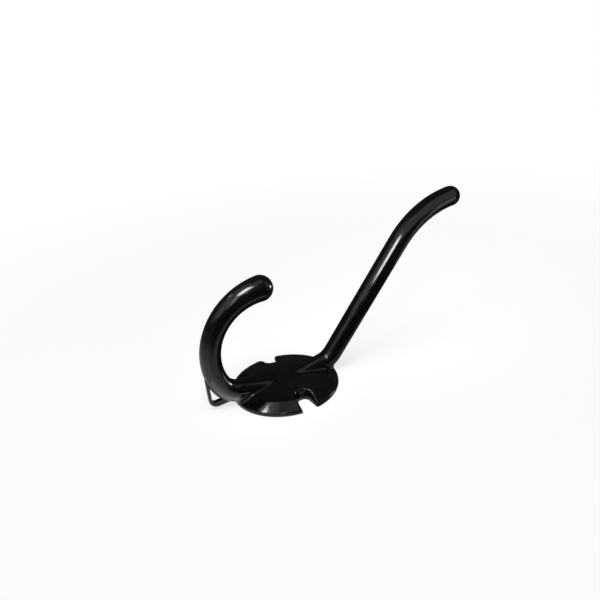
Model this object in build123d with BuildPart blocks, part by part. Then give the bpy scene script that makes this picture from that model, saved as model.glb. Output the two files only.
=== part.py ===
"""Double coat hook: one casting with a round wall plate, a long hat arm, a short coat arm and a small eye.

Frame: the flat back of the plate lies in Z = 0, with the origin at its centre. +Z points out of the wall
and +X points up the wall, along the long arm. The hook is symmetrical about the XZ plane.
Sizes are in millimetres and degrees.
"""

import os
from math import cos, radians, tan

from build123d import *

# --- wall plate ---------------------------------------------------------------------------------------
PLATE_DIAMETER = 40.0
PLATE_THICKNESS = 4.7  # at the centre of the gently domed face
FACE_DIAMETER = 31.0  # domed face inside the bevel
FACE_EDGE_HEIGHT = 3.4
FACE_FILLET = 3.0  # between the face and the bevel
RIM_THICKNESS = 1.2  # upright edge left below the bevel
BLANK_ALLOWANCE = 1.0  # how far the blank and the turned profile run past each other
EDGE_FILLET = 0.7  # all round the rim and both notches, on the face side

# --- screw notches, one on each side of the plate -----------------------------------------------------
NOTCH_WIDTH = 4.3
NOTCH_MOUTH_WIDTH = 5.4
NOTCH_DEPTH = 7.6  # from the rim to the round inner end
NOTCH_OFFSET = 0.9  # the notches sit slightly toward the long arm
NOTCH_MOUTH_FILLET = 0.8
NOTCH_TAPER = 15.0  # the walls open toward the face, as a seat for a countersunk head

# --- long arm (for hats), from the plate's centre to its tip ------------------------------------------
LONG_ROOT_DIAMETER = 6.95
LONG_TIP_DIAMETER = 7.6
LONG_ROOT_FADE = 1.5  # distance from the plate's centre where the root rises out of the face
LONG_ROOT_SLOPE = 12.0
LONG_ROOT_LENGTH = 16.2
LONG_BEND_RADIUS = 9.0
LONG_SHANK_SLOPE = 50.0
LONG_SHANK_LENGTH = 48.3
LONG_TIP_RADIUS = 35.7
LONG_TIP_SLOPE = 5.7

# --- short arm (for coats), from the plate's centre to its tip ----------------------------------------
SHORT_ROOT_DIAMETER = 8.2
SHORT_BAR_DIAMETER = 7.64
SHORT_TIP_DIAMETER = 9.36
SHORT_ROOT_FADE = 1.5
SHORT_ROOT_SLOPE = 13.5
SHORT_ROOT_LENGTH = 18.78
SHORT_BEND_RADIUS = 9.0
SHORT_BEND_SWEEP = 54.7
SHORT_HOOK_RADIUS = 22.85
SHORT_HOOK_SWEEP = 108.6
SHORT_SWELL_SWEEP = 55.0  # last part of the hook arc, over which the bar swells to its tip
SHORT_MID_SWELL = 0.35  # share of the swelling reached halfway along that part

ROOT_FILLET = 1.6  # along both roots, where they rise out of the plate

# --- eye under the short arm --------------------------------------------------------------------------
EYE_WIDTH = 1.8
EYE_WALL_GAP = 0.75  # between the wall and the foot's outer corner, before that corner is rounded
EYE_FOOT_THICKNESS = 2.35
EYE_FOOT_SLOPE = 5.0  # the foot rises a little toward the plate
EYE_POST_THICKNESS = 1.2
EYE_POST_INSET = 0.4  # from the outermost point of the short arm
EYE_POST_DROP = 5.7  # from the centre of the hook arc to the post's end inside the short arm
EYE_OUTER_FILLET = 3.2
EYE_INNER_FILLET = 1.2
EYE_EDGE_FILLET = 0.4


def lowest(shape):
    """Lowest Z of an edge or a face."""
    return shape.bounding_box().min.Z


def highest(shape):
    """Highest Z of an edge or a face."""
    return shape.bounding_box().max.Z


def root_start(diameter, slope, fade):
    """Start of a root on the plate's axis: its crown line reaches the flat face at the fade distance."""
    half_height = diameter / 2 / cos(radians(slope))
    return (0, PLATE_THICKNESS - half_height - fade * tan(radians(slope)))


def round_section(path, length, diameter):
    """Round bar section, square to its path, at a length along the path."""
    position = length / path.length
    with BuildSketch(Plane(path @ position, z_dir=path % position)) as section:
        Circle(diameter / 2)
    return section.sketch


# --- centre lines of the arms, as chains of tangent lines and arcs ------------------------------------
with BuildLine(Plane.XZ) as long_line:
    start = root_start(LONG_ROOT_DIAMETER, LONG_ROOT_SLOPE, LONG_ROOT_FADE)
    root = PolarLine(start, LONG_ROOT_LENGTH, LONG_ROOT_SLOPE)
    bend = JernArc(root @ 1, root % 1, LONG_BEND_RADIUS, LONG_SHANK_SLOPE - LONG_ROOT_SLOPE)
    shank = PolarLine(bend @ 1, LONG_SHANK_LENGTH, direction=bend % 1)
    JernArc(shank @ 1, shank % 1, LONG_TIP_RADIUS, LONG_TIP_SLOPE - LONG_SHANK_SLOPE)
long_path = long_line.wire()

with BuildLine(Plane.XZ) as short_line:
    start = root_start(SHORT_ROOT_DIAMETER, SHORT_ROOT_SLOPE, SHORT_ROOT_FADE)
    root = PolarLine(start, SHORT_ROOT_LENGTH, 180 - SHORT_ROOT_SLOPE)
    bend = JernArc(root @ 1, root % 1, SHORT_BEND_RADIUS, -SHORT_BEND_SWEEP)
    hook = JernArc(bend @ 1, bend % 1, SHORT_HOOK_RADIUS, -SHORT_HOOK_SWEEP)
short_path = short_line.wire()
root_end = root @ 1
hook_centre = hook.arc_center

# --- wall plate: a disc with two round-ended notches, turned to a domed and bevelled face --------------
blank_height = PLATE_THICKNESS + BLANK_ALLOWANCE
face_corner = (FACE_DIAMETER / 2, FACE_EDGE_HEIGHT)
outer_radius = PLATE_DIAMETER / 2 + BLANK_ALLOWANCE
bevel_slope = (FACE_EDGE_HEIGHT - RIM_THICKNESS) / (PLATE_DIAMETER / 2 - FACE_DIAMETER / 2)
bevel_end = (outer_radius, RIM_THICKNESS - BLANK_ALLOWANCE * bevel_slope)
with BuildPart() as plate:
    with BuildSketch():
        Circle(PLATE_DIAMETER / 2)
    extrude(amount=blank_height)
    with BuildSketch() as notches:
        with Locations((NOTCH_OFFSET, PLATE_DIAMETER / 2 - NOTCH_DEPTH + NOTCH_WIDTH / 2)):
            Circle(NOTCH_WIDTH / 2)
        with Locations((NOTCH_OFFSET, PLATE_DIAMETER / 2)):
            Circle(NOTCH_MOUTH_WIDTH / 2)
        make_hull()
        mirror(about=Plane.XZ)
    extrude(amount=blank_height, taper=-NOTCH_TAPER, mode=Mode.SUBTRACT)
    mouth_corners = plate.edges(Select.NEW)
    fillet(mouth_corners, NOTCH_MOUTH_FILLET)
    with BuildSketch(Plane.YZ) as profile:
        with BuildLine():
            dome = TangentArc((0, PLATE_THICKNESS), face_corner, tangent=(1, 0))
            bottom = [(outer_radius, -BLANK_ALLOWANCE), (0, -BLANK_ALLOWANCE)]
            Polyline(face_corner, bevel_end, *bottom, dome @ 0)
        make_face()
        fillet(profile.vertices().sort_by_distance(face_corner)[0], FACE_FILLET)
    revolve(axis=Axis.Z, mode=Mode.INTERSECT)
    half_rim = RIM_THICKNESS / 2
    upright_faces = plate.faces().filter_by(lambda face: lowest(face) < half_rim)
    fillet(upright_faces.edges().filter_by(lambda edge: lowest(edge) > half_rim), EDGE_FILLET)

# --- long arm: a round bar that swells evenly from root to tip ----------------------------------------
with BuildPart() as long_arm:
    sections = [
        round_section(long_path, 0, LONG_ROOT_DIAMETER),
        round_section(long_path, long_path.length, LONG_TIP_DIAMETER),
    ]
    sweep(sections, path=long_path, multisection=True)
    with Locations(long_path @ 1):
        Sphere(LONG_TIP_DIAMETER / 2)

# --- short arm: it thins from its root to an even bar, whose last stretch swells to a bulb ------------
with BuildPart() as short_arm:
    swell_length = SHORT_HOOK_RADIUS * radians(SHORT_SWELL_SWEEP)
    swell_start = short_path.length - swell_length
    mid_swell_diameter = SHORT_BAR_DIAMETER + SHORT_MID_SWELL * (SHORT_TIP_DIAMETER - SHORT_BAR_DIAMETER)
    sections = [
        round_section(short_path, 0, SHORT_ROOT_DIAMETER),
        round_section(short_path, SHORT_ROOT_LENGTH, SHORT_ROOT_DIAMETER),
        round_section(short_path, (SHORT_ROOT_LENGTH + swell_start) / 2, SHORT_BAR_DIAMETER),
        round_section(short_path, swell_start, SHORT_BAR_DIAMETER),
        round_section(short_path, swell_start + swell_length / 2, mid_swell_diameter),
        round_section(short_path, short_path.length, SHORT_TIP_DIAMETER),
    ]
    sweep(sections, path=short_path, multisection=True)
    with Locations(short_path @ 1):
        Sphere(SHORT_TIP_DIAMETER / 2)

# --- eye: a thin foot and post that close a small triangle with the underside of the short arm --------
with BuildPart() as eye:
    post_outer = hook_centre.X - SHORT_HOOK_RADIUS - SHORT_BAR_DIAMETER / 2 + EYE_POST_INSET
    post_inner = post_outer + EYE_POST_THICKNESS
    post_top = hook_centre.Z - EYE_POST_DROP
    foot_slope = tan(radians(EYE_FOOT_SLOPE))
    foot_top = EYE_WALL_GAP + EYE_FOOT_THICKNESS + foot_slope * EYE_POST_THICKNESS
    foot_end = EYE_WALL_GAP + foot_slope * (root_end.X - post_outer)
    with BuildSketch(Plane.XZ) as bracket:
        with BuildLine():
            Polyline(
                (post_outer, post_top),
                (post_outer, EYE_WALL_GAP),
                (root_end.X, foot_end),
                (root_end.X, foot_end + EYE_FOOT_THICKNESS),
                (post_inner, foot_top),
                (post_inner, post_top),
                close=True,
            )
        make_face()
        fillet(bracket.vertices().sort_by_distance((post_outer, EYE_WALL_GAP))[0], EYE_OUTER_FILLET)
        fillet(bracket.vertices().sort_by_distance((post_inner, foot_top))[0], EYE_INNER_FILLET)
    extrude(amount=EYE_WIDTH / 2, both=True)
    fillet(eye.faces().filter_by(Axis.Y).edges(), EYE_EDGE_FILLET)

# --- the casting: the arms blend into the plate, and the whole is flat at the wall ---------------------
with BuildPart() as coat_hook:
    add(plate.part)
    for arm in (long_arm, short_arm):
        add(arm.part)
        seam = coat_hook.edges(Select.NEW).filter_by(lambda edge: highest(edge) > half_rim)
        fillet(seam, ROOT_FILLET)
    split(bisect_by=Plane.XY, keep=Keep.TOP)
    add(eye.part)

coat_hook.part.label = "coat_hook"
os.makedirs("parts", exist_ok=True)
export_step(coat_hook.part, "parts/coat_hook.step")
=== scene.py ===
"""Double coat hook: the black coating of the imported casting, and the stage, lamps and camera around it.

Everything is in metres, in the casting's own frame: the plate's flat back lies in Z = 0 with the origin at
its centre, +Z points out of the wall and +X points up the wall, along the long arm. Azimuths count from the
-Y side toward +X.
"""

from math import cos, pi, radians, sin, tan

import bpy
from bpy.props import BoolProperty, FloatProperty, FloatVectorProperty, PointerProperty
from bpy.types import Operator, Panel, PropertyGroup
from mathutils import Matrix, Vector

bl_info = {
    "name": "Double Coat Hook",
    "version": (1, 0, 0),
    "blender": (4, 5, 0),
    "location": "3D Viewport > Sidebar > Coat Hook",
    "description": "Finishes a cast double coat hook in glossy black and sets it on a white studio stage",
    "category": "Object",
}

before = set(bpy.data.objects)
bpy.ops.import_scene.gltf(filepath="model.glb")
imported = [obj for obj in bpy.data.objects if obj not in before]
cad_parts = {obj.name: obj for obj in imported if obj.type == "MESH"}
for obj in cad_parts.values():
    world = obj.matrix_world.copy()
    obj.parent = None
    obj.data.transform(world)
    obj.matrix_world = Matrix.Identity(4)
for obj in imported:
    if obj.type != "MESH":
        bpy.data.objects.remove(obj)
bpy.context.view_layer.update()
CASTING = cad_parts["coat_hook"]

WHITE = (1.0, 1.0, 1.0)
PATCH_RATIO = 1.6  # spacing of the colour patches, in spacings of the broad waves
PATCH_RANGE = (0.35, 0.65)  # part of the noise over which the colour changes
FLOW_RATIO = 4  # spacing of the duller places, in spacings of the small ripples
FLOW_RANGE = (0.3, 0.7)  # part of the noise over which the gloss changes

SHADOW_END = 3  # the floor's shadow has faded at this many shadow reaches
SHEET_LEVEL = 0.0005  # height over the floor of the glowing sheet that paints the floor's reflection
SHEET_HOLE = 0.012  # radius of the hole in the sheet that paints the floor's reflection, which lies under the plate
CARD_LEVEL = 0.0010  # height over the floor of the flat glowing cards that paint the floor's reflection
FLOOR_STEPS = 96  # corners round the floor
SHEET_STEPS = 72  # corners round the sheet that paints the floor's reflection
ROOM_STEPS = 48  # corners round the glowing dome that paints the dim room's reflection
ROOM_ROWS = 12  # rows of faces from the floor to the top of the dome that paints the room's reflection
WIDEST_HALF = radians(89.9)  # half the spread of a lamp without a grid, just under a right angle
SENSOR_WIDTH = 36.0  # of the camera, in millimetres
CLIP_START = 0.01  # nearest distance that the camera shows


# --- settings -----------------------------------------------------------------------------------------
class CoatingSettings(PropertyGroup):
    """The black coating over the casting."""

    deep_color: FloatVectorProperty(
        name="Deep Colour",
        description="Colour of the coating where it lies thick",
        subtype="COLOR",
        min=0.0,
        max=1.0,
        default=(0.0012, 0.0012, 0.0014),
    )
    thin_color: FloatVectorProperty(
        name="Thin Colour",
        description="Slightly warmer colour of the coating where it lies thin",
        subtype="COLOR",
        min=0.0,
        max=1.0,
        default=(0.0026, 0.0024, 0.0023),
    )
    smooth_roughness: FloatProperty(
        name="Smooth Roughness",
        description="Roughness of the coating where it flowed out well",
        min=0.0,
        max=1.0,
        default=0.12,
        subtype="FACTOR",
    )
    dull_roughness: FloatProperty(
        name="Dull Roughness",
        description="Roughness of the coating where it is a little duller",
        min=0.0,
        max=1.0,
        default=0.19,
        subtype="FACTOR",
    )
    peel_spacing: FloatProperty(
        name="Peel Spacing",
        description="Distance between the small ripples in the coating",
        min=0.0001,
        max=0.01,
        default=0.0011,
        unit="LENGTH",
        precision=5,
    )
    peel_height: FloatProperty(
        name="Peel Height",
        description="Height of the small ripples in the coating",
        min=0.0,
        max=0.001,
        default=0.0000022,
        unit="LENGTH",
        precision=7,
    )
    wave_spacing: FloatProperty(
        name="Wave Spacing",
        description="Distance between the broad waves that the mould leaves under the coating",
        min=0.0005,
        max=0.05,
        default=0.0085,
        unit="LENGTH",
        precision=4,
    )
    wave_height: FloatProperty(
        name="Wave Height",
        description="Height of the broad waves that the mould leaves under the coating",
        min=0.0,
        max=0.001,
        default=0.00002,
        unit="LENGTH",
        precision=6,
    )


class StageSettings(PropertyGroup):
    """Floor, dim room light, the glowing shapes that paint reflections of the room and the floor, and
    camera.
    """

    floor_radius: FloatProperty(
        name="Floor Radius",
        description="Radius of the round floor",
        min=0.5,
        max=50.0,
        default=12.0,
        unit="LENGTH",
    )
    floor_color: FloatVectorProperty(
        name="Floor Colour",
        description="Colour of the plain floor where it shows its shading",
        subtype="COLOR",
        min=0.0,
        max=1.0,
        default=(0.9, 0.9, 0.9),
    )
    floor_lift: FloatProperty(
        name="Floor Lift",
        description="Share of plain white that the floor shows near the hook, over its shadow",
        min=0.0,
        max=1.0,
        default=0.75,
        subtype="FACTOR",
    )
    shadow_reach: FloatProperty(
        name="Shadow Reach",
        description="Distance from the hook over which the floor keeps its soft shadow",
        min=0.01,
        max=5.0,
        default=0.12,
        unit="LENGTH",
    )
    # this colour lights the hook's shaded sides from the world, and also glows in the dome that paints the
    # dim room's reflection in the hook's gloss
    room_color: FloatVectorProperty(
        name="Room Colour",
        description="Colour of the dim room that the hook's gloss and its shaded sides show",
        subtype="COLOR",
        min=0.0,
        max=1.0,
        default=(0.05, 0.05, 0.055),
    )
    # radius of the glowing dome that paints the dim room's reflection in the hook's gloss
    reflection_dome_radius: FloatProperty(
        name="Room Radius",
        description="Radius of the dim room around the hook",
        min=2.0,
        max=50.0,
        default=4.0,
        unit="LENGTH",
    )
    # the sheet settings shape the glowing sheet that paints the floor's light and shade into the hook's
    # gloss
    sheet_start: FloatProperty(
        name="Sheet Start",
        description="Distance from the hook at which the grey sheet under it starts to darken",
        min=0.01,
        max=1.0,
        default=0.075,
        unit="LENGTH",
    )
    sheet_reach: FloatProperty(
        name="Sheet Reach",
        description="Distance from the hook at which the grey sheet ends in an upright rim",
        min=0.1,
        max=5.0,
        default=1.0,
        unit="LENGTH",
    )
    sheet_rim: FloatProperty(
        name="Sheet Rim",
        description="Height of the upright rim of the grey sheet",
        min=0.0,
        max=2.0,
        default=0.2,
        unit="LENGTH",
    )
    sheet_fade: FloatProperty(
        name="Sheet Fade",
        description="Power by which the grey sheet darkens with distance from the hook",
        min=0.0,
        max=3.0,
        default=0.6,
    )
    sheet_brightness: FloatProperty(
        name="Sheet Brightness",
        description="Brightness of the grey sheet near the hook, where 1 is the white of the floor",
        min=0.0,
        max=10.0,
        default=0.85,
    )
    sheet_dark: FloatProperty(
        name="Sheet Dark",
        description="Brightness of the grey sheet on its dark sides",
        min=0.0,
        max=10.0,
        default=0.03,
    )
    sheet_heart: FloatVectorProperty(
        name="Sheet Heart",
        description="Point on the floor from which the sheet's bright sector opens",
        subtype="XYZ",
        unit="LENGTH",
        default=(0.005, -0.015, 0.0),
        precision=4,
    )
    sheet_azimuth: FloatProperty(
        name="Sheet Azimuth",
        description="Middle of the sheet's bright sector, from the -Y side toward +X",
        min=-pi,
        max=pi,
        default=radians(-97),
        subtype="ANGLE",
    )
    sheet_sector: FloatProperty(
        name="Sheet Sector",
        description="Angle either side of its middle over which the sector keeps its full brightness",
        min=0.0,
        max=pi,
        default=radians(20),
        subtype="ANGLE",
    )
    sheet_border: FloatProperty(
        name="Sheet Border",
        description="Further angle over which the sector fades into the sheet's dark sides",
        min=radians(1),
        max=pi,
        default=radians(47),
        subtype="ANGLE",
    )
    focal_length: FloatProperty(
        name="Focal Length",
        description="Focal length of the camera, in millimetres on a 36 mm sensor",
        min=10.0,
        max=300.0,
        default=35.48,
    )
    azimuth: FloatProperty(
        name="Azimuth",
        description="Where the camera stands around the hook, from the -Y side toward +X",
        min=-pi,
        max=pi,
        default=radians(-22.53),
        subtype="ANGLE",
    )
    elevation: FloatProperty(
        name="Elevation",
        description="Angle above the level at which the camera stands, seen from its aim",
        min=0.0,
        max=pi / 2,
        default=radians(25.27),
        subtype="ANGLE",
    )
    roll: FloatProperty(
        name="Roll",
        description="Clockwise turn of the camera about its own line of sight",
        min=-pi,
        max=pi,
        default=radians(6.52),
        subtype="ANGLE",
    )
    distance: FloatProperty(
        name="Distance",
        description="Distance from the camera to the point that it looks at",
        min=0.05,
        max=10.0,
        default=0.2222,
        unit="LENGTH",
    )
    aim: FloatVectorProperty(
        name="Aim",
        description="Point that the camera looks at",
        subtype="XYZ",
        unit="LENGTH",
        default=(0.0134, 0.0087, 0.0280),
        precision=4,
    )


class LightSettings(PropertyGroup):
    """One soft lamp, placed by its direction from the spot that it lights."""

    spot: FloatVectorProperty(
        name="Spot",
        description="Point on the hook that the lamp is aimed at",
        subtype="XYZ",
        unit="LENGTH",
        default=(0.0, 0.0, 0.0),
        precision=4,
    )
    azimuth: FloatProperty(
        name="Azimuth",
        description="Where the lamp stands around its spot, from the -Y side toward +X",
        default=0.0,
        subtype="ANGLE",
    )
    elevation: FloatProperty(
        name="Elevation",
        description="Angle above the level at which the lamp stands, seen from its spot",
        default=0.0,
        subtype="ANGLE",
    )
    distance: FloatProperty(
        name="Distance",
        description="Distance from the spot to the lamp",
        default=1.0,
        unit="LENGTH",
    )
    width: FloatProperty(
        name="Width",
        description="Width of the lamp's face",
        default=0.5,
        unit="LENGTH",
    )
    height: FloatProperty(
        name="Height",
        description="Height of the lamp's face",
        default=0.5,
        unit="LENGTH",
    )
    turn: FloatProperty(
        name="Turn",
        description="Turn of the lamp's face about its own axis",
        default=0.0,
        subtype="ANGLE",
    )
    spread: FloatProperty(
        name="Spread",
        description="Angle that the grid in front of the lamp lets through",
        default=pi,
        subtype="ANGLE",
    )
    brightness: FloatProperty(
        name="Brightness",
        description="Brightness of the lamp's face, where 1 is the white of the floor",
        default=5.0,
    )
    in_gloss: BoolProperty(
        name="In Gloss",
        description="Whether the hook's gloss shows the lamp",
        default=True,
    )


# --- lamps and painted floor reflections --------------------------------------------------------------
# spots on the hook that the lamps are aimed at
SHANK = (0.0475, -0.003, 0.0420)
TIP = (0.069, -0.003, 0.0565)
CURL = (-0.0105, -0.003, 0.0435)
TRAIL = (-0.0160, -0.006, 0.0400)
BEVEL = (-0.013, -0.012, 0.0025)
ROOTS = (0.0, -0.006, 0.004)
MIDDLE = (0.0134, 0.0, 0.020)
UNDER_CURL = (-0.028, -0.010, 0.020)
NOTCH = (0.0025, -0.0125, 0.0035)
SHORT_ROOT = (-0.0205, -0.003, 0.0085)

LAMP_FIELDS = (
    "spot",
    "azimuth",
    "elevation",
    "distance",
    "width",
    "height",
    "turn",
    "spread",
    "brightness",
    "in_gloss",
)
LAMP_ANGLES = {"azimuth", "elevation", "turn", "spread"}  # given in degrees

# the name of each lamp, then its fields in the order above
LAMPS = (
    ("key", SHANK, -38, 29.5, 0.10, 0.046, 0.030, -31, 54, 26.0, True),
    ("curl", CURL, -27, 59.5, 0.06, 0.024, 0.022, -47, 46, 27.0, True),
    ("back", BEVEL, -136, 64, 0.06, 0.013, 0.012, 0, 26, 38.0, True),
    ("bulb", CURL, 85, -5, 0.040, 0.0070, 0.0075, 0, 30, 27.0, True),
    ("side", SHORT_ROOT, 83, 4, 0.052, 0.0090, 0.0100, 0, 24, 27.0, True),
    ("tip", TIP, 10, 36, 0.035, 0.074, 0.054, 0, 160, 0.58, True),
    ("wide", MIDDLE, -72, 48, 1.50, 1.70, 1.20, 0, 180, 0.46, True),
    ("strip", MIDDLE, -68, 42, 1.40, 0.20, 0.68, 0, 180, 1.1, True),
    ("sheen", BEVEL, -133, 76, 0.08, 0.030, 0.024, 0, 60, 0.85, True),
    ("crest", ROOTS, 35, 80, 0.09, 0.060, 0.050, 0, 50, 0.7, True),
    ("trail", TRAIL, -31, 40, 0.05, 0.013, 0.024, 0, 50, 3.3, True),
    ("bounce", UNDER_CURL, 0, -90, 0.0185, 0.022, 0.013, 0, 120, 2.2, True),
    ("notch", NOTCH, -126, 62, 0.030, 0.013, 0.012, 0, 22, 38.0, True),
    ("rim", NOTCH, 80, 5, 0.060, 0.018, 0.014, 0, 18, 22.0, True),
    ("fill", MIDDLE, -40, 75, 1.50, 1.20, 1.20, 0, 180, 5.0, False),
)

# name, brightness and corners of the flat glowing cards on the floor, which only the hook's gloss shows:
# painted reflections of shaded floor and of one brightly lit patch
PAINTED_FLOOR_CARDS = (
    # painted reflection of shaded floor in front of the plate
    (
        "near_floor_shade",
        0.5,
        (
            (-0.04, -0.03),
            (-0.005, -0.02),
            (0.015, -0.02),
            (0.015, -0.036),
            (-0.01, -0.046),
            (-0.035, -0.056),
        ),
    ),
    # painted reflection of dark, shaded floor by the notch
    ("notch_floor_shade", 0.03, ((-0.010, -0.021), (0.010, -0.021), (0.008, -0.009), (-0.008, -0.009))),
    # painted reflection of the tip's shadow on the floor
    ("tip_floor_shadow", 0.45, ((0.09, 0.0), (0.114, 0.0), (0.124, -0.035), (0.100, -0.030))),
    # painted reflection of brightly lit floor beyond the dark front
    (
        "lit_floor_patch",
        1.7,
        (
            (0.112, -0.036),
            (0.122, -0.042),
            (0.208, -0.170),
            (0.48, -0.52),
            (0.36, -0.52),
            (0.20, -0.20),
        ),
    ),
    # painted reflection of the shade under the long arm
    ("under_shank_shade", 0.25, ((0.018, 0.003), (0.056, 0.003), (0.056, -0.014), (0.018, -0.014))),
)


# --- node helpers -------------------------------------------------------------------------------------
def opaque(color):
    """An RGB colour with an alpha of 1."""
    return (*color, 1.0)


def map_range(tree, value, from_min, from_max, to_min, to_max):
    """The output of a node that maps one range smoothly onto another."""
    node = tree.nodes.new("ShaderNodeMapRange")
    node.interpolation_type = "SMOOTHSTEP"
    tree.links.new(value, node.inputs["Value"])
    for name, number in (
        ("From Min", from_min),
        ("From Max", from_max),
        ("To Min", to_min),
        ("To Max", to_max),
    ):
        node.inputs[name].default_value = number
    return node.outputs["Result"]


def noise(tree, position, spacing, detail):
    """The output of a noise whose lumps lie about one spacing apart."""
    node = tree.nodes.new("ShaderNodeTexNoise")
    node.inputs["Scale"].default_value = 1.0 / spacing
    node.inputs["Detail"].default_value = detail
    tree.links.new(position, node.inputs["Vector"])
    return node.outputs["Fac"]


def math_step(tree, operation, value, number=0.0):
    """The output of a node that combines a value with a number."""
    step = tree.nodes.new("ShaderNodeMath")
    step.operation = operation
    step.inputs[1].default_value = number
    tree.links.new(value, step.inputs[0])
    return step.outputs[0]


def math_pair(tree, operation, first, second):
    """The output of a node that combines two values."""
    pair = tree.nodes.new("ShaderNodeMath")
    pair.operation = operation
    tree.links.new(first, pair.inputs[0])
    tree.links.new(second, pair.inputs[1])
    return pair.outputs[0]


def reach(tree, position):
    """The output of a node that measures how far a position lies from the origin."""
    length = tree.nodes.new("ShaderNodeVectorMath")
    length.operation = "LENGTH"
    tree.links.new(position, length.inputs[0])
    return length.outputs["Value"]


def bump(tree, height, distance, normal=None):
    """The output of a bump of a real height, over an earlier one if there is one."""
    node = tree.nodes.new("ShaderNodeBump")
    node.inputs["Distance"].default_value = distance
    tree.links.new(height, node.inputs["Height"])
    if normal is not None:
        tree.links.new(normal, node.inputs["Normal"])
    return node.outputs["Normal"]


# --- materials ----------------------------------------------------------------------------------------
def black_coating(settings):
    """Glossy black powder coating over a casting, faintly uneven in colour, gloss and level."""
    material = bpy.data.materials.new("black_coating_finish")
    material.use_nodes = True
    tree = material.node_tree
    shader = tree.nodes["Principled BSDF"]
    position = tree.nodes.new("ShaderNodeTexCoord").outputs["Object"]

    patches = noise(tree, position, settings.wave_spacing * PATCH_RATIO, detail=4.0)
    color = tree.nodes.new("ShaderNodeMix")
    color.data_type = "RGBA"
    color.inputs["A"].default_value = opaque(settings.deep_color)
    color.inputs["B"].default_value = opaque(settings.thin_color)
    tree.links.new(map_range(tree, patches, *PATCH_RANGE, 0.0, 1.0), color.inputs["Factor"])
    tree.links.new(color.outputs["Result"], shader.inputs["Base Color"])

    flow = noise(tree, position, settings.peel_spacing * FLOW_RATIO, detail=3.0)
    gloss = map_range(tree, flow, *FLOW_RANGE, settings.smooth_roughness, settings.dull_roughness)
    tree.links.new(gloss, shader.inputs["Roughness"])

    waves = bump(tree, noise(tree, position, settings.wave_spacing, detail=1.0), settings.wave_height)
    peel = bump(tree, noise(tree, position, settings.peel_spacing, detail=2.0), settings.peel_height, waves)
    tree.links.new(peel, shader.inputs["Normal"])
    return material


def background_share(tree):
    """The output that is 1 for rays that show the background: straight on, in gloss or through glass."""
    rays = tree.nodes.new("ShaderNodeLightPath")
    share = rays.outputs["Is Camera Ray"]
    for kind in ("Is Glossy Ray", "Is Transmission Ray"):
        share = math_pair(tree, "MAXIMUM", share, rays.outputs[kind])
    return share


def floor_white(settings):
    """Plain floor that shows mostly white, straight on and in reflections, and keeps a soft shadow."""
    material = bpy.data.materials.new("floor_white")
    material.use_nodes = True
    tree = material.node_tree
    tree.nodes.clear()
    card = tree.nodes.new("ShaderNodeBsdfDiffuse")
    card.inputs["Color"].default_value = opaque(settings.floor_color)
    white = tree.nodes.new("ShaderNodeEmission")
    white.inputs["Color"].default_value = opaque(WHITE)
    white.inputs["Strength"].default_value = 1.0

    near = settings.shadow_reach
    distance = reach(tree, tree.nodes.new("ShaderNodeTexCoord").outputs["Object"])
    outward = map_range(tree, distance, near, SHADOW_END * near, settings.floor_lift, 1.0)
    lift = math_pair(tree, "MULTIPLY", background_share(tree), outward)
    mix = tree.nodes.new("ShaderNodeMixShader")
    tree.links.new(lift, mix.inputs[0])
    tree.links.new(card.outputs[0], mix.inputs[1])
    tree.links.new(white.outputs[0], mix.inputs[2])
    output = tree.nodes.new("ShaderNodeOutputMaterial")
    tree.links.new(mix.outputs[0], output.inputs["Surface"])
    return material


def studio_world(settings):
    """Plain white background that lights the hook only as a dim room does."""
    world = bpy.data.worlds.new("studio")
    world.use_nodes = True
    tree = world.node_tree
    background = tree.nodes["Background"]
    mix = tree.nodes.new("ShaderNodeMix")
    mix.data_type = "RGBA"
    mix.inputs["A"].default_value = opaque(settings.room_color)
    mix.inputs["B"].default_value = opaque(WHITE)
    tree.links.new(background_share(tree), mix.inputs["Factor"])
    tree.links.new(mix.outputs["Result"], background.inputs["Color"])
    background.inputs["Strength"].default_value = 1.0
    return world


# --- stage --------------------------------------------------------------------------------------------
def direction(azimuth, elevation):
    """Unit vector toward an azimuth, counted from -Y toward +X, and an elevation."""
    return Vector((sin(azimuth) * cos(elevation), -cos(azimuth) * cos(elevation), sin(elevation)))


def ring_faces(rings, steps):
    """Four-sided faces between neighbouring rings that have the same number of corners."""
    faces = []
    for ring in range(rings - 1):
        low = ring * steps
        high = low + steps
        for i in range(steps):
            after = (i + 1) % steps
            faces.append((low + i, low + after, high + after, high + i))
    return faces


def round_floor(settings):
    """Round floor in the plane that the hook's back lies in."""
    corners = []
    for i in range(FLOOR_STEPS):
        angle = 2 * pi * i / FLOOR_STEPS
        corners.append((settings.floor_radius * cos(angle), settings.floor_radius * sin(angle), 0.0))
    mesh = bpy.data.meshes.new("floor")
    mesh.from_pydata(corners, [], [tuple(range(FLOOR_STEPS))])
    mesh.materials.append(floor_white(settings))
    floor = bpy.data.objects.new("floor", mesh)
    bpy.context.scene.collection.objects.link(floor)
    return floor


def glow(name, brightness=1.0):
    """Material that only glows, and the node that holds its brightness and colour."""
    material = bpy.data.materials.new(name)
    material.use_nodes = True
    tree = material.node_tree
    tree.nodes.clear()
    emission = tree.nodes.new("ShaderNodeEmission")
    emission.inputs["Strength"].default_value = brightness
    output = tree.nodes.new("ShaderNodeOutputMaterial")
    tree.links.new(emission.outputs[0], output.inputs["Surface"])
    material.cycles.emission_sampling = "NONE"
    return material, emission


def painted_reflection_mesh(name, material, corners, faces):
    """Glowing mesh that only the hook's gloss shows, hidden from the camera, from diffuse rays and from
    shadows: a painted reflection.
    """
    mesh = bpy.data.meshes.new(name)
    mesh.from_pydata(corners, [], faces)
    mesh.materials.append(material)
    card = bpy.data.objects.new(name, mesh)
    card.visible_camera = False
    card.visible_diffuse = False
    card.visible_shadow = False
    bpy.context.scene.collection.objects.link(card)
    return card


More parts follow.
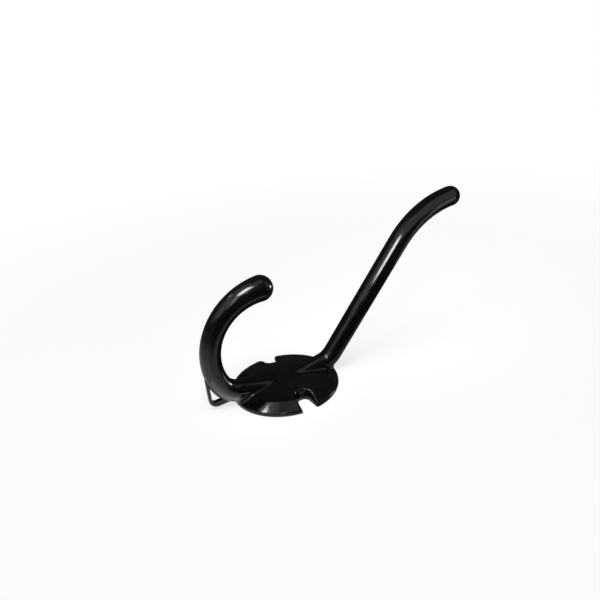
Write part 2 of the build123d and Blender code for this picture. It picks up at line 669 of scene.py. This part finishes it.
def painted_room_reflection(settings):
    """Dim glowing dome over the stage that only the hook's gloss shows: a painted reflection of a dark
    room.
    """
    material, emission = glow("painted_room_reflection")
    emission.inputs["Color"].default_value = opaque(settings.room_color)
    corners = [
        direction(2 * pi * i / ROOM_STEPS, pi / 2 * row / ROOM_ROWS) * settings.reflection_dome_radius
        for row in range(ROOM_ROWS)
        for i in range(ROOM_STEPS)
    ]
    top = len(corners)
    corners.append(Vector((0.0, 0.0, settings.reflection_dome_radius)))
    faces = ring_faces(ROOM_ROWS, ROOM_STEPS)
    last = top - ROOM_STEPS
    faces += [(last + i, last + (i + 1) % ROOM_STEPS, top) for i in range(ROOM_STEPS)]
    return painted_reflection_mesh("painted_room_reflection", material, corners, faces)


def floor_reflection_glow(tree, settings):
    """The output that says how bright the painted floor reflection is: a painted pool of light in one soft
    sector, fading outward into painted shade.
    """
    position = tree.nodes.new("ShaderNodeTexCoord").outputs["Object"]
    ratio = math_step(tree, "DIVIDE", reach(tree, position), settings.sheet_start)
    fade = math_step(tree, "POWER", math_step(tree, "MAXIMUM", ratio, 1.0), -settings.sheet_fade)

    from_heart = tree.nodes.new("ShaderNodeVectorMath")
    from_heart.operation = "SUBTRACT"
    from_heart.inputs[1].default_value = settings.sheet_heart
    tree.links.new(position, from_heart.inputs[0])
    split = tree.nodes.new("ShaderNodeSeparateXYZ")
    tree.links.new(from_heart.outputs["Vector"], split.inputs[0])
    toward_front = math_step(tree, "MULTIPLY", split.outputs["Y"], -1.0)
    azimuth = math_pair(tree, "ARCTAN2", split.outputs["X"], toward_front)
    turn = math_step(tree, "SUBTRACT", azimuth, settings.sheet_azimuth)
    turn = math_step(tree, "ABSOLUTE", turn)
    inner = settings.sheet_sector
    outer = inner + settings.sheet_border
    sector = map_range(tree, turn, inner, outer, settings.sheet_brightness, settings.sheet_dark)
    return math_pair(tree, "MULTIPLY", fade, sector)


def painted_floor_reflection(settings):
    """Round glowing sheet under the hook that ends in an upright rim, and that only the hook's gloss shows:
    a painted reflection of the floor's light and shade.
    """
    material, emission = glow("painted_floor_reflection")
    tree = material.node_tree
    tree.links.new(floor_reflection_glow(tree, settings), emission.inputs["Strength"])
    rings = (
        (SHEET_HOLE, SHEET_LEVEL),
        (settings.sheet_reach, SHEET_LEVEL),
        (settings.sheet_reach, settings.sheet_rim),
    )
    corners = [
        direction(2 * pi * i / SHEET_STEPS, 0.0) * radius + Vector((0.0, 0.0, height))
        for radius, height in rings
        for i in range(SHEET_STEPS)
    ]
    return painted_reflection_mesh("painted_floor_reflection", material, corners, ring_faces(len(rings), SHEET_STEPS))


def painted_floor_cards():
    """Flat glowing cards on the floor around the hook: painted reflections of shaded floor and of one
    brightly lit patch.
    """
    for name, brightness, outline in PAINTED_FLOOR_CARDS:
        material, _ = glow(name, brightness)
        corners = [(x, y, CARD_LEVEL) for x, y in outline]
        painted_reflection_mesh(name, material, corners, [tuple(range(len(corners)))])


def soft_lamp(name, settings):
    """Rectangular soft lamp behind a grid, aimed at its spot, whose face has the given brightness."""
    lamp = bpy.data.lights.new(name + "_lamp", "AREA")
    lamp.shape = "RECTANGLE"
    lamp.size = settings.width
    lamp.size_y = settings.height
    lamp.spread = settings.spread
    # a face of area A and brightness L gives off pi * A * L, and a grid narrows that to a brighter cone
    half = min(settings.spread / 2, WIDEST_HALF)
    narrowing = tan(half) / (tan(half) - half)
    lamp.energy = pi * settings.width * settings.height * settings.brightness / narrowing
    holder = bpy.data.objects.new(name + "_lamp", lamp)
    toward = direction(settings.azimuth, settings.elevation)
    level = toward.to_track_quat("Z", "Y").to_matrix()
    turned = level @ Matrix.Rotation(settings.turn, 3, "Z")
    place = Vector(settings.spot) + toward * settings.distance
    holder.matrix_world = Matrix.Translation(place) @ turned.to_4x4()
    holder.visible_camera = False
    holder.visible_glossy = settings.in_gloss
    bpy.context.scene.collection.objects.link(holder)
    return holder


def hook_camera(settings):
    """Camera that looks at the aim point from its azimuth and elevation, turned by its roll."""
    back = direction(settings.azimuth, settings.elevation)
    right = Vector((cos(settings.azimuth), sin(settings.azimuth), 0.0))
    up = back.cross(right)
    level = Matrix((right, up, back)).transposed()
    turn = level @ Matrix.Rotation(-settings.roll, 3, "Z")
    camera = bpy.data.cameras.new("camera")
    camera.lens = settings.focal_length
    camera.sensor_width = SENSOR_WIDTH
    camera.clip_start = CLIP_START
    holder = bpy.data.objects.new("camera", camera)
    place = Vector(settings.aim) + back * settings.distance
    holder.matrix_world = Matrix.Translation(place) @ turn.to_4x4()
    bpy.context.scene.collection.objects.link(holder)
    bpy.context.scene.camera = holder
    return holder


# --- operators ----------------------------------------------------------------------------------------
class COATHOOK_OT_coat_casting(Operator):
    """Give the casting its glossy black coating"""

    bl_idname = "coathook.coat_casting"
    bl_label = "Coat the Casting"
    bl_options = {"REGISTER", "UNDO"}

    def execute(self, context):
        finish = black_coating(context.scene.coathook_coating)
        for slot in CASTING.material_slots:
            slot.material = finish
        return {"FINISHED"}


class COATHOOK_OT_set_stage(Operator):
    """Set up the white floor and world, the painted reflections of a dim room and of the floor's light and
    shade, the soft lamps and the camera
    """

    bl_idname = "coathook.set_stage"
    bl_label = "Set the Stage"
    bl_options = {"REGISTER", "UNDO"}

    def execute(self, context):
        scene = context.scene
        stage = scene.coathook_stage
        round_floor(stage)
        # glowing shapes that paint reflections of a dim room and of the floor's light and shade into the
        # hook's gloss
        painted_room_reflection(stage)
        painted_floor_reflection(stage)
        painted_floor_cards()
        scene.world = studio_world(stage)
        for name, *values in LAMPS:
            lamp = getattr(scene, "coathook_lamp_" + name)
            for field, value in zip(LAMP_FIELDS, values):
                setattr(lamp, field, radians(value) if field in LAMP_ANGLES else value)
            soft_lamp(name, lamp)
        hook_camera(stage)
        scene.view_settings.view_transform = "Standard"
        return {"FINISHED"}


class COATHOOK_PT_panel(Panel):
    """Sizes, colours and steps of the coat hook"""

    bl_idname = "COATHOOK_PT_panel"
    bl_label = "Coat Hook"
    bl_space_type = "VIEW_3D"
    bl_region_type = "UI"
    bl_category = "Coat Hook"

    def draw(self, context):
        column = self.layout.column()
        for group in (context.scene.coathook_coating, context.scene.coathook_stage):
            for name in group.bl_rna.properties.keys():
                if name not in {"rna_type", "name"}:
                    column.prop(group, name)
            column.separator()
        for operator in OPERATORS:
            column.operator(operator.bl_idname)


GROUPS = (CoatingSettings, StageSettings, LightSettings)
OPERATORS = (COATHOOK_OT_coat_casting, COATHOOK_OT_set_stage)
CLASSES = (*GROUPS, *OPERATORS, COATHOOK_PT_panel)


def register():
    for cls in CLASSES:
        bpy.utils.register_class(cls)
    bpy.types.Scene.coathook_coating = PointerProperty(type=CoatingSettings)
    bpy.types.Scene.coathook_stage = PointerProperty(type=StageSettings)
    for name, *_ in LAMPS:
        setattr(bpy.types.Scene, "coathook_lamp_" + name, PointerProperty(type=LightSettings))


def unregister():
    for name, *_ in LAMPS:
        delattr(bpy.types.Scene, "coathook_lamp_" + name)
    del bpy.types.Scene.coathook_stage
    del bpy.types.Scene.coathook_coating
    for cls in reversed(CLASSES):
        bpy.utils.unregister_class(cls)


def main():
    register()
    bpy.ops.coathook.coat_casting()
    bpy.ops.coathook.set_stage()


if __name__ == "__main__":
    main()
